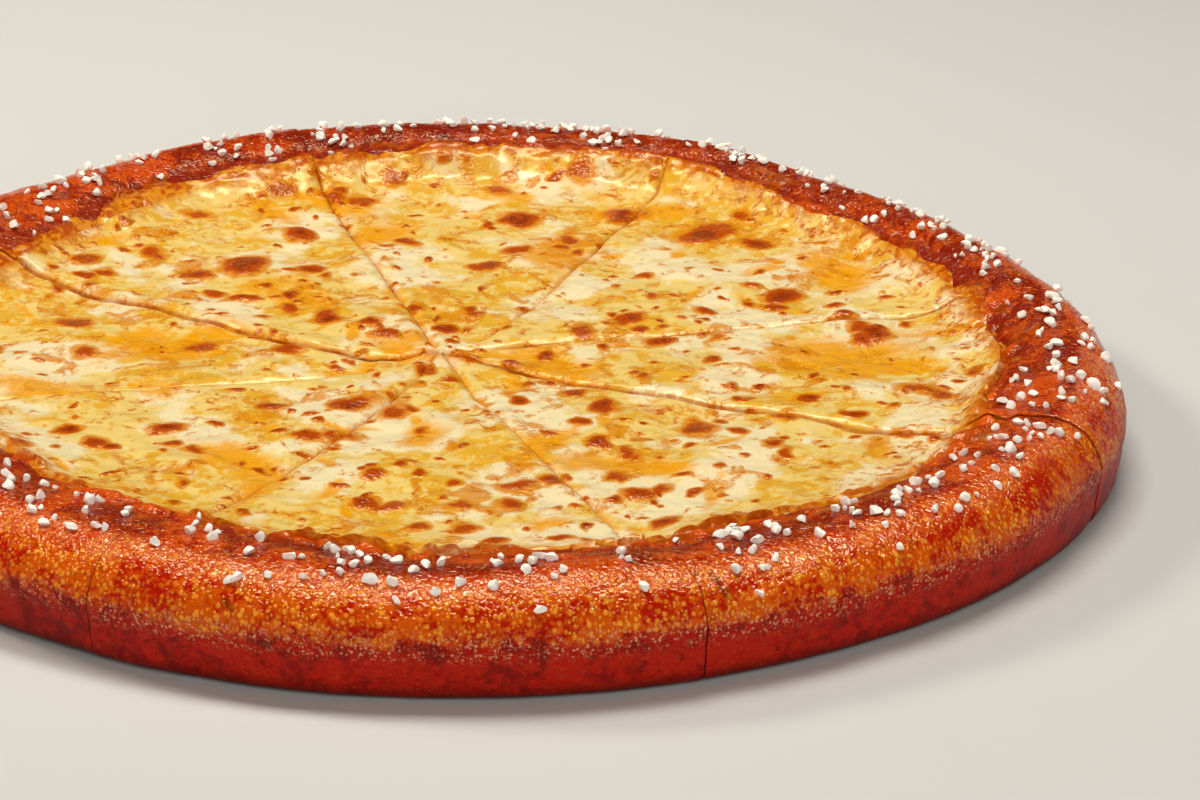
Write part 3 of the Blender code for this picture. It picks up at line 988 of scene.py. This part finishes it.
def melted_finish(settings):
    """Melted cheese: butter yellow with cream, straw and cheddar patches, and toasted blisters, with painted
    shade along the cuts.
    """
    finish = Finish("melted_toasted_cheese")
    toast, cheddar = finish.stored("toast"), finish.stored("cheddar")
    cream, from_cut = finish.stored("cream"), finish.stored("from_cut")
    inside, flow, knob = finish.stored("inside"), finish.stored("flow"), finish.stored("knob")
    right, front = finish.along("X").step(0.03, 0.13), finish.along("Y").step(-0.04, -0.12)
    broad = finish.grain(0.028, detail=2.0, distortion=0.5)
    patchy = finish.grain(0.0095, distortion=0.9)
    toasty = finish.grain(0.0070, distortion=0.7)
    streaks = finish.grain(0.0044, detail=2.0, distortion=1.4)
    fine = finish.grain(0.0021, detail=2.0, distortion=0.3)
    tiny = finish.grain(0.0009, detail=2.0)
    grainy = fine * 0.2 + tiny * 0.2

    # The cheese's own colours, and what is lightly toasted
    yellower = (patchy + streaks * 0.8 + broad * 0.5).step(-0.06, 0.12)
    pale = (cream * 0.6 + streaks * 0.8 + grainy).step(-0.04, 0.28)
    orange = (cheddar + fine * 0.3 + streaks * 1.8).step(-0.60, 0.80)
    clouds = (toasty + broad * 0.5 + grainy).step(0.04, 0.19)
    freckles = (finish.grain(0.0036, detail=2.0, distortion=0.5) + toasty * 0.6).step(0.08, 0.26)
    ragged = toast + fine * 0.45 + streaks * 1.1

    # Towards the rim: mottled and flecked, then the browned film with its darker rind
    mottled = (inside + patchy * 0.090 + streaks * 0.050).step(0.014, 0.002)
    flecked = (streaks + fine * 0.7).step(0.02, 0.14)
    film = (inside + streaks * 0.007 + patchy * 0.006).step(0.0038, -0.0012)
    browned = film * (1 - finish.grain(0.013, detail=1.0).step(0.10, 0.18) * 0.9)
    deeper = (streaks * 0.7 + patchy * 0.3 + fine * 0.6 + knob * 90).step(-0.10, 0.12)
    rind = (flow + streaks + fine * 0.5).step(0.45, 1.0)
    # Painted shade along the cuts: tan in a soft crease and toast in a thin line
    crease = (from_cut + streaks * 0.0080).step(0.0016, 0.0001)
    cut_shade = from_cut.step(0.0006, 0.0) * (toasty.step(-0.15, 0.15) * 0.55 + 0.10)
    body = finish.layered(
        settings.butter,
        (yellower * 0.9, settings.straw),
        (pale * 0.9, settings.cream),
        (orange * 0.92, settings.cheddar),
        (clouds * 0.82, settings.tan),
        (freckles * 0.85, settings.tan),
        (freckles.step(0.65, 1.0) * 0.55, settings.toast),
        (ragged.step(-0.95, -0.10) * 0.92, settings.tan),
        (ragged.step(-0.10, 0.44) * 0.97, settings.toast),
        ((ragged + tiny * 0.5).step(0.55, 1.0) * 0.8, settings.dark),
        (mottled * streaks.step(-0.10, 0.06) * (right * 0.50 + 0.30), settings.tan),
        (mottled * flecked * (right * 0.45 + 0.35), settings.toast),
        (browned * 0.92, settings.tan),
        (browned * deeper * 0.95, settings.toast),
        (rind * (0.9 - front * 0.5), finish.mix(fine.step(-0.10, 0.10), settings.dark, settings.toast)),
        (crease * 0.55, settings.tan),
        (cut_shade, settings.toast),
    )

    oily = (clouds * 0.5 + orange * 0.3 + fine * 0.4).step(0.15, 0.55)
    bubbles = finish.grain(0.0042, detail=0.0)
    blobs = (finish.grain(0.0013, detail=1.0) + 0.5) * (oily * 0.5 + ragged.step(-0.8, 0.2) * 0.6)
    normal = finish.bump(bubbles * 0.6 + blobs * 0.7, distance=0.0010)
    rough = fine * 0.16 - oily * 0.08 + 0.22
    soft = {"Subsurface Weight": 0.08, "Subsurface Radius": (1.0, 0.55, 0.2), "Subsurface Scale": 0.0025}
    return finish.surface(finish.shader(body, rough, gloss=0.28, normal=normal, more=soft))


def salt_finish(settings):
    """Chalky white salt, greyer in places."""
    finish = Finish("coarse_salt")
    fine = finish.grain(0.0010)
    body = finish.mix(fine.step(-0.20, 0.12), settings.grey, settings.milk)
    normal = finish.bump(fine, distance=0.0003, strength=0.5)
    return finish.surface(finish.shader(body, rough=0.55, gloss=0.40, normal=normal))


def floor_finish(settings):
    """A plain pale floor."""
    finish = Finish("pale_floor")
    darker = tuple(part * 0.96 for part in settings.floor)
    body = finish.mix(finish.grain(0.25, detail=2.0) + 0.5, darker, settings.floor)
    return finish.surface(finish.shader(body, rough=0.75, gloss=0.25))


# Operators


class PIZZA_OT_bake_crusts(bpy.types.Operator):
    """Makes each slice's baked dough with its glazed rim"""

    bl_idname = "pizza.bake_crusts"
    bl_label = "Bake the crusts"

    def execute(self, context):
        settings = context.scene.pizza_crust
        finish = baked_finish(settings)
        for index, node in enumerate(CRUSTS):
            upper, lower, values = shape_crust(Slice(index, BAKED_GAP), settings)
            crust = closed_piece(f"baked_{node}", upper, lower)
            for name, held in values.items():
                give_values(crust, name, held)
            crust.data.materials.append(finish)
            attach(crust, "root")
            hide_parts(node)
        return {"FINISHED"}


class PIZZA_OT_melt_cheese(bpy.types.Operator):
    """Makes each slice's melted and toasted cheese"""

    bl_idname = "pizza.melt_cheese"
    bl_label = "Melt the cheese"

    def execute(self, context):
        settings = context.scene.pizza_cheese
        finish = melted_finish(settings)
        blisters = placed_spots(LARGE_BLISTERS, stretch=1.2)
        blisters += scattered_spots(settings.blisters, *SMALL_BLISTERS)
        cheddars = placed_spots(LARGE_CHEDDARS, stretch=1.6)
        cheddars += scattered_spots(settings.cheddars, *SMALL_CHEDDARS)
        for index, node in enumerate(CHEESES):
            upper, lower, values = shape_cheese(Slice(index, BAKED_GAP), settings, blisters, cheddars)
            cheese = closed_piece(f"melted_{node}", upper, lower)
            for name, held in values.items():
                give_values(cheese, name, held, below=OUTSIDE if name in ("toast", "cheddar") else 0.0)
            cheese.data.materials.append(finish)
            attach(cheese, "root")
            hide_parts(node)
        return {"FINISHED"}


class PIZZA_OT_scatter_salt(bpy.types.Operator):
    """Scatters coarse salt over the rim, the grains of the solids among it"""

    bl_idname = "pizza.scatter_salt"
    bl_label = "Scatter the salt"

    def execute(self, context):
        settings = context.scene.pizza_salt
        shape = bmesh.new()
        bmesh.ops.create_icosphere(shape, subdivisions=2, radius=1.0)
        ball = np.array([corner.co for corner in shape.verts])
        ball_faces = np.array([[corner.index for corner in face.verts] for face in shape.faces])
        shape.free()
        points, faces = [], []
        for index, node in enumerate(CRUSTS):
            crust = bpy.data.objects[f"baked_{node}"]
            piece = Slice(index, CUT_GAP)
            draw = random.Random(SALT_SEED * 100 + index)
            for inward, across, share in grain_places(piece, int(settings.number * SALT_SHARES[index])):
                angle = piece.angle(DIAMETER / 2, across)
                radius = outline_radius(angle) - inward * rim_width(angle)
                height = section_height(inward) * RIM_HEIGHT
                guess = Vector(piece.point(radius, piece.angle(radius, across), height))
                found, near, normal, _ = crust.closest_point_on_mesh(guess)
                if not found:
                    raise RuntimeError(f"a grain on {node} finds no dough under it")
                size = settings.size * share
                upright = np.array(normal.to_track_quat("Z", "Y").to_matrix())
                grain = grain_points(ball, size, draw) @ upright.T
                grain += np.array(near + normal * size * (0.5 - settings.sunk))
                grain[:, 2] -= max(0.0, grain[:, 2].max() - SALT_TOP)
                faces.append(ball_faces + sum(map(len, points)))
                points.append(grain)
        data = bpy.data.meshes.new("salt_grains")
        data.from_pydata(np.concatenate(points).tolist(), [], np.concatenate(faces).tolist())
        data.shade_smooth()
        data.set_sharp_from_angle(angle=math.radians(38))
        salt = linked_object("salt_grains", data)
        data.materials.append(salt_finish(settings))
        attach(salt, "root")
        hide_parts(*CRUSTS)
        return {"FINISHED"}


class PIZZA_OT_set_studio(bpy.types.Operator):
    """Sets the pale floor, the lamps and the camera"""

    bl_idname = "pizza.set_studio"
    bl_label = "Set the studio"

    def execute(self, context):
        settings = context.scene.pizza_studio
        self.lay_floor(settings)
        self.hang_lamps()
        self.light_room(context)
        self.set_camera(context, settings)
        context.scene.view_settings.view_transform = "Standard"
        context.scene.view_settings.look = "None"
        return {"FINISHED"}

    def lay_floor(self, settings):
        shape = bmesh.new()
        bmesh.ops.create_grid(shape, x_segments=1, y_segments=1, size=3.0)
        data = bpy.data.meshes.new("floor")
        shape.to_mesh(data)
        shape.free()
        floor = linked_object("floor", data)
        data.materials.append(floor_finish(settings))

    def hang_lamps(self):
        """Hangs the lamps: (name, place, sides, watts, tint, what it gives)."""
        lamps = (
            ("overhead", (0.05, 0.22, 1.15), (0.70, 0.36), 10.0, (1.0, 0.95, 0.86), "light"),
            ("sheen", (0.05, 0.29, 1.20), (1.20, 0.28), 25.0, (1.0, 0.90, 0.56), "shine"),
            ("left", (-1.05, 0.55, 1.00), (0.30, 0.30), 11.0, (1.0, 0.90, 0.72), "light"),
            ("front", (0.20, -1.50, 0.80), (1.40, 0.90), 13.5, (1.0, 0.95, 0.86), "light"),
        )
        for name, place, sides, power, tint, gives in lamps:
            lamp = bpy.data.lights.new(name, "AREA")
            lamp.shape = "RECTANGLE"
            lamp.size, lamp.size_y = sides
            lamp.energy = power
            lamp.color = tint
            made = linked_object(name, lamp)
            made.location = place
            made.rotation_mode = "QUATERNION"
            made.rotation_quaternion = (-Vector(place)).to_track_quat("-Z", "Y")
            made.visible_glossy = gives != "light"
            made.visible_diffuse = gives != "shine"

    def light_room(self, context):
        world = bpy.data.worlds.new("soft_room")
        world.use_nodes = True
        back = world.node_tree.nodes["Background"]
        back.inputs["Color"].default_value = (1.0, 0.74, 0.52, 1.0)
        back.inputs["Strength"].default_value = 0.05
        context.scene.world = world

    def set_camera(self, context, settings):
        lens = bpy.data.cameras.new("camera")
        lens.sensor_width = 36.0
        lens.lens = settings.lens
        lens.clip_start, lens.clip_end = 0.05, 20.0
        camera = linked_object("camera", lens)
        level, up = math.cos(settings.elevation), math.sin(settings.elevation)
        camera.location = AIM + Vector((0.0, -settings.distance * level, settings.distance * up))
        ahead = (
            math.sin(settings.turn) * math.cos(settings.dip),
            math.cos(settings.turn) * math.cos(settings.dip),
            -math.sin(settings.dip),
        )
        camera.rotation_mode = "QUATERNION"
        camera.rotation_quaternion = Vector(ahead).to_track_quat("-Z", "Y")
        context.scene.camera = camera


class PIZZA_PT_sidebar(bpy.types.Panel):
    """Lists the pizza's steps and settings"""

    bl_idname = "PIZZA_PT_sidebar"
    bl_label = "Pretzel Crust Pizza"
    bl_space_type = "VIEW_3D"
    bl_region_type = "UI"
    bl_category = "Pizza"

    def draw(self, context):
        for operator, group, _ in STEPS:
            box = self.layout.box()
            box.operator(operator.bl_idname)
            settings = getattr(context.scene, group)
            for name in settings.__annotations__:
                box.prop(settings, name)


# The steps in their order, with the name and the kind of their settings
STEPS = (
    (PIZZA_OT_bake_crusts, "pizza_crust", CrustSettings),
    (PIZZA_OT_melt_cheese, "pizza_cheese", CheeseSettings),
    (PIZZA_OT_scatter_salt, "pizza_salt", SaltSettings),
    (PIZZA_OT_set_studio, "pizza_studio", StudioSettings),
)
CLASSES = (*(step[2] for step in STEPS), *(step[0] for step in STEPS), PIZZA_PT_sidebar)


def register():
    for kind in CLASSES:
        bpy.utils.register_class(kind)
    for _, name, group in STEPS:
        setattr(bpy.types.Scene, name, bpy.props.PointerProperty(type=group))


def unregister():
    for _, name, _ in STEPS:
        delattr(bpy.types.Scene, name)
    for kind in reversed(CLASSES):
        bpy.utils.unregister_class(kind)


def main():
    register()
    bpy.ops.pizza.bake_crusts()
    bpy.ops.pizza.melt_cheese()
    bpy.ops.pizza.scatter_salt()
    bpy.ops.pizza.set_studio()


if __name__ == "__main__":
    main()
